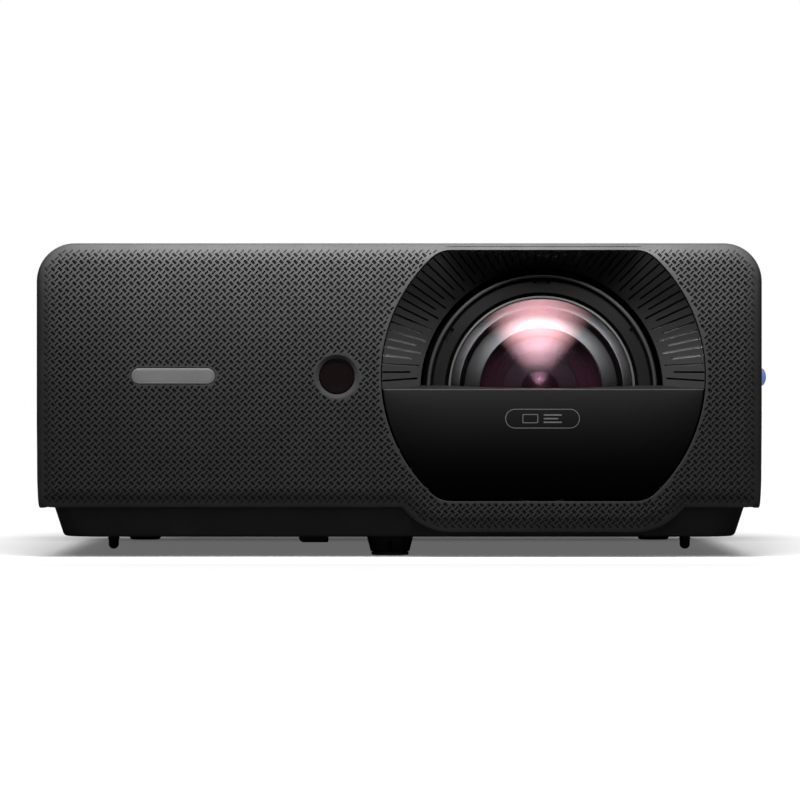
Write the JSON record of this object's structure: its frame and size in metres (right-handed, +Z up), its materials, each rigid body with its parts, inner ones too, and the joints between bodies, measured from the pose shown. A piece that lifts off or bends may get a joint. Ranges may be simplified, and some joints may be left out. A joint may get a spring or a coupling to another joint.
{
  "type": "home projector",
  "caption": "Short-throw laser home projector: dark box case, large lens in a recess behind a half cover, keypad, screw-out front foot, sockets and fans.",
  "frame": {"origin": "on the desk under the middle of the overall box", "axes": "+X to the right as seen from in front, the front face towards -Y, +Z up"},
  "size_m": [0.4216, 0.351, 0.1809],
  "materials": {
    "case_shell": "fine spark-eroded charcoal plastic",
    "panel": "charcoal plastic with a debossed woven texture",
    "base": "fine satin black plastic",
    "bezel": "satin dark plastic",
    "shroud": "smooth satin black plastic",
    "lens_metal": "black anodised",
    "lens_glass": "polished, with a purple and pink anti-reflection coating",
    "ir_glass": "polished dark red infrared window",
    "badge": "satin",
    "rubber": "matte",
    "key": "satin",
    "lit_key": "milky pale blue, translucent",
    "aluminium": "as cast and extruded",
    "steel": "zinc plated",
    "board": "green solder mask",
    "port_metal": "nickel plated",
    "port_body": "black moulding",
    "phosphor": "yellow phosphor coating on a polished disc",
    "fan": "black moulding"
  },
  "bodies": {
    "housing": {"top_cover": "case_shell", "front_panel": "panel", "ir_window": "ir_glass", "badge_plate": "badge", "lens_bezel": "bezel", "lens_shroud": "shroud", "lower_case": "base", "left_grille": "base", "right_grille": "base", "control_panel": "bezel", "lens_barrel": "lens_metal", "rear_element": "lens_glass", "lens_mount": "aluminium", "optical_engine": "aluminium", "dmd_heatsink": "aluminium", "laser_module": "aluminium", "laser_heatsink": "aluminium", "wheel_motor": "steel", "intake_fan_frame": "fan", "exhaust_fan_frame_1": "fan", "exhaust_fan_frame_2": "fan", "hdmi_port_1": "port_metal", "hdmi_port_2": "port_metal", "usb_port": "port_metal", "lan_port": "port_metal", "serial_port": "port_metal", "audio_jack": "port_body", "power_inlet": "port_body", "rear_panel": "base", "rear_screw_1": "steel", "rear_screw_2": "steel", "rear_screw_3": "steel", "rear_screw_4": "steel", "main_board": "board", "power_supply": "board", "speaker": "port_body", "left_peg": "rubber", "right_peg": "rubber", "left_rear_foot": "rubber", "right_rear_foot": "rubber", "underside_tab": "base"},
    "focus_ring": {"focus_ring": "lens_metal"},
    "lens_cell": {"front_cell": "lens_metal", "front_element": "lens_glass", "inner_baffle": "lens_metal", "second_element": "lens_glass"},
    "phosphor_wheel": {"phosphor_wheel": "phosphor"},
    "intake_impeller": {"intake_impeller": "fan"},
    "exhaust_impeller_1": {"exhaust_impeller_1": "fan"},
    "exhaust_impeller_2": {"exhaust_impeller_2": "fan"},
    "power_key": {"power_key": "lit_key"},
    "up_key": {"up_key": "key"},
    "down_key": {"down_key": "key"},
    "left_key": {"left_key": "key"},
    "right_key": {"right_key": "key"},
    "ok_key": {"ok_key": "key"},
    "menu_key": {"menu_key": "key"},
    "front_foot_pad": {"front_foot_pad": "rubber"},
    "front_foot_screw": {"front_foot_screw": "base"}
  },
  "joints": [
    {"name": "focus_turn", "type": "hinge", "parent": "housing", "child": "focus_ring", "pos_m": [0.0811, -0.14, 0.0967], "axis": [0, 1, 0], "range_deg": [-40, 40]},
    {"name": "lens_cell_slide", "type": "slide", "parent": "housing", "child": "lens_cell", "axis": [0, 1, 0], "range_m": [-0.0015, 0.0015]},
    {"name": "phosphor_wheel_spin", "type": "hinge", "parent": "housing", "child": "phosphor_wheel", "pos_m": [-0.0177, 0.026, 0.095], "axis": [1, 0, 0], "continuous": true},
    {"name": "intake_fan_spin", "type": "hinge", "parent": "housing", "child": "intake_impeller", "pos_m": [-0.1938, 0.017, 0.095], "axis": [1, 0, 0], "continuous": true},
    {"name": "exhaust_fan_1_spin", "type": "hinge", "parent": "housing", "child": "exhaust_impeller_1", "pos_m": [0.1854, -0.01, 0.095], "axis": [1, 0, 0], "continuous": true},
    {"name": "exhaust_fan_2_spin", "type": "hinge", "parent": "housing", "child": "exhaust_impeller_2", "pos_m": [0.1854, 0.074, 0.095], "axis": [1, 0, 0], "continuous": true},
    {"name": "power_key_press", "type": "slide", "parent": "housing", "child": "power_key", "axis": [-1, 0, 0], "range_m": [0, 0.0008], "stiffness_N_per_m": 300, "springref_m": -0.001},
    {"name": "up_key_press", "type": "slide", "parent": "housing", "child": "up_key", "axis": [-1, 0, 0], "range_m": [0, 0.0008], "stiffness_N_per_m": 300, "springref_m": -0.001},
    {"name": "down_key_press", "type": "slide", "parent": "housing", "child": "down_key", "axis": [-1, 0, 0], "range_m": [0, 0.0008], "stiffness_N_per_m": 300, "springref_m": -0.001},
    {"name": "left_key_press", "type": "slide", "parent": "housing", "child": "left_key", "axis": [-1, 0, 0], "range_m": [0, 0.0008], "stiffness_N_per_m": 300, "springref_m": -0.001},
    {"name": "right_key_press", "type": "slide", "parent": "housing", "child": "right_key", "axis": [-1, 0, 0], "range_m": [0, 0.0008], "stiffness_N_per_m": 300, "springref_m": -0.001},
    {"name": "ok_key_press", "type": "slide", "parent": "housing", "child": "ok_key", "axis": [-1, 0, 0], "range_m": [0, 0.0008], "stiffness_N_per_m": 300, "springref_m": -0.001},
    {"name": "menu_key_press", "type": "slide", "parent": "housing", "child": "menu_key", "axis": [-1, 0, 0], "range_m": [0, 0.0008], "stiffness_N_per_m": 300, "springref_m": -0.001},
    {"name": "foot_extend", "type": "slide", "parent": "housing", "child": "front_foot_pad", "axis": [0, 0, -1], "range_m": [0, 0.0121]},
    {"name": "foot_turn", "type": "hinge", "parent": "front_foot_pad", "child": "front_foot_screw", "pos_m": [-0.0071, -0.1305, 0.005], "axis": [0, 0, 1], "range_deg": [0, 1440]}
  ],
  "couplings": [
    {"joint": "lens_cell_slide", "follows": "focus_turn", "m_per_rad": 0.002},
    {"joint": "foot_extend", "follows": "foot_turn", "m_per_rad": 0.00047746}
  ]
}
